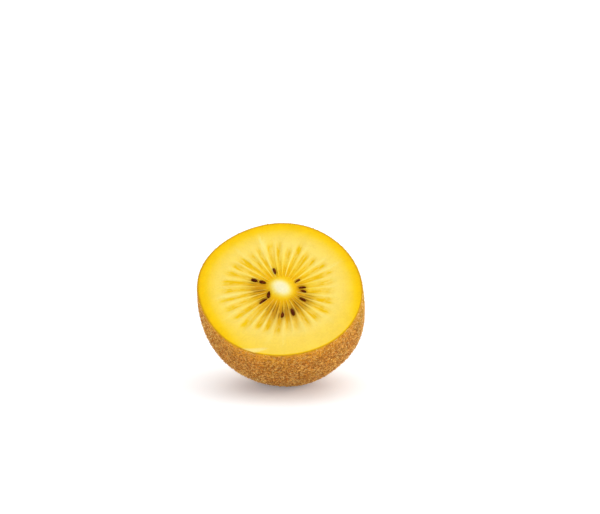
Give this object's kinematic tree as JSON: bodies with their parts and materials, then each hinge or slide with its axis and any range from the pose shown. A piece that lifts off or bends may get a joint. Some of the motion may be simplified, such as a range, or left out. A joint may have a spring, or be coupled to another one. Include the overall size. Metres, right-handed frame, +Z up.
{
  "type": "golden kiwi fruit half",
  "caption": "Half of a golden kiwi fruit, cut across its middle, lying on its brown downy skin with the yellow seeded face tilted up.",
  "frame": {"origin": "middle of the underside of the box round the half, on the surface that it lies on", "axes": "+Z up; the cut face is tilted up and forward, towards -Y; +X to the right as seen from the front"},
  "size_m": [0.0506, 0.0494, 0.0473],
  "materials": {
    "skin": "matte downy",
    "flesh": "moist",
    "seed": "glossy",
    "stem_end": "rough dry",
    "hair": "soft"
  },
  "bodies": {
    "root": {"golden_kiwi_half": "skin"}
  },
  "joints": []
}
